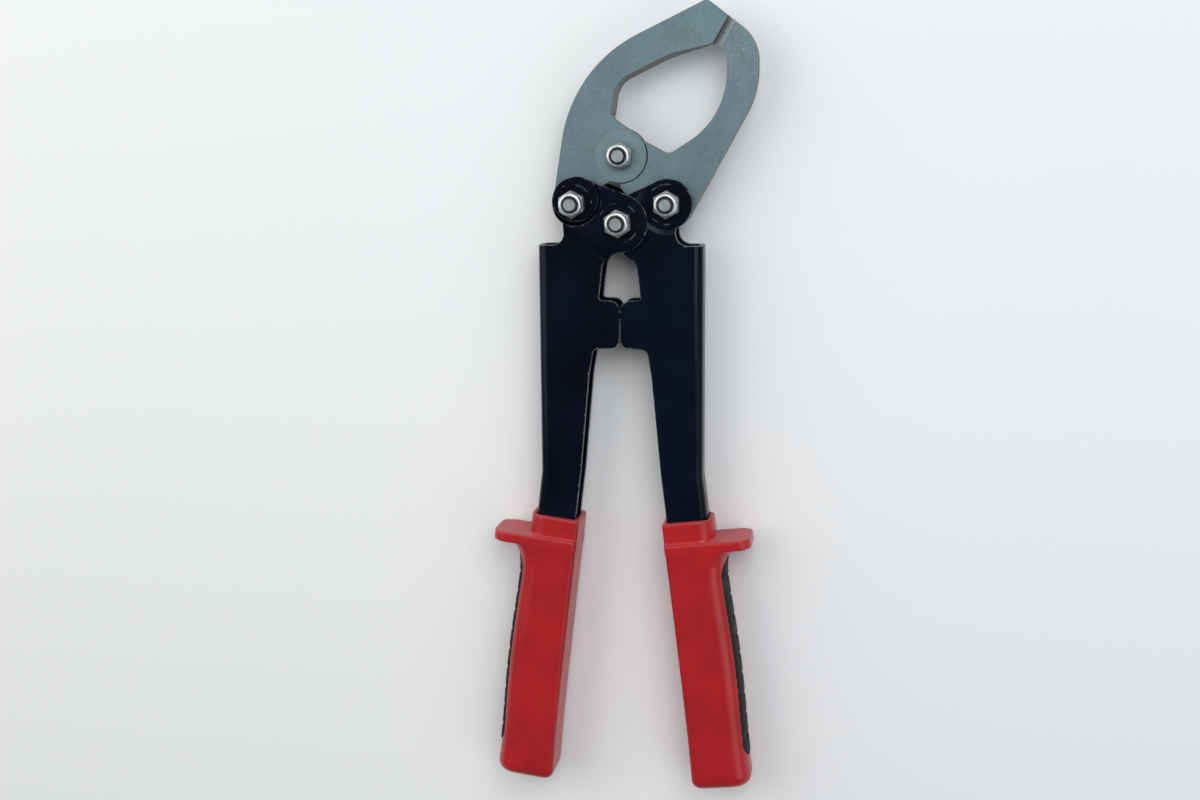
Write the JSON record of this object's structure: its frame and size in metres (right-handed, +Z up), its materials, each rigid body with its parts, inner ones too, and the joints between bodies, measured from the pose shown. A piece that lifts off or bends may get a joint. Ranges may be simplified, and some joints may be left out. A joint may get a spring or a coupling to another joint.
{
  "type": "compound-leverage cutters",
  "caption": "Two-handed compound-leverage cutters with wide-mouthed plate jaws that meet tip to tip, black channel handles and red guarded grips.",
  "frame": {"origin": "on the handle pivot's axis, at the lower face of that pivot's bolt head, which is the plane the tool rests on", "axes": "+Y from the grips to the jaws, +Z up through the tool's thickness on the nut side, +X across to the right jaw"},
  "size_m": [0.1113, 0.3313, 0.0291],
  "materials": {
    "jaw_steel": "satin",
    "black_paint": "gloss",
    "zinc": "satin",
    "red_plastic": "gloss",
    "black_rubber": "matt",
    "nylon": "matt"
  },
  "bodies": {
    "right_handle": {"right_handle": "black_paint", "right_grip": "red_plastic", "right_palm_pad": "black_rubber", "centre_spacer": "zinc", "handle_bolt": "zinc", "handle_nut": "zinc", "handle_nut_ring": "nylon", "right_link_bolt": "zinc", "right_link_nut": "zinc", "right_link_nut_ring": "nylon"},
    "left_handle": {"left_handle": "black_paint", "left_grip": "red_plastic", "left_palm_pad": "black_rubber", "left_link_bolt": "zinc", "left_link_nut": "zinc", "left_link_nut_ring": "nylon"},
    "left_jaw": {"left_jaw": "jaw_steel", "jaw_bolt": "zinc", "jaw_nut": "zinc", "jaw_nut_ring": "nylon"},
    "right_jaw": {"right_jaw": "jaw_steel"}
  },
  "joints": [
    {"name": "handle_pivot", "type": "hinge", "parent": "right_handle", "child": "left_handle", "pos_m": [0, 0, 0.01305], "axis": [0, 0, -1], "range_deg": [0, 38]},
    {"name": "left_jaw_pivot", "type": "hinge", "parent": "left_handle", "child": "left_jaw", "pos_m": [-0.0195, 0.0075, 0.01305], "axis": [0, 0, 1], "range_deg": [0, 28.5]},
    {"name": "right_jaw_pivot", "type": "hinge", "parent": "right_handle", "child": "right_jaw", "pos_m": [0.0195, 0.0075, 0.01305], "axis": [0, 0, -1], "range_deg": [0, 28.5]}
  ],
  "couplings": [
    {"joint": "left_jaw_pivot", "follows": "handle_pivot", "ratio": 0.75},
    {"joint": "right_jaw_pivot", "follows": "handle_pivot", "ratio": 0.75}
  ]
}
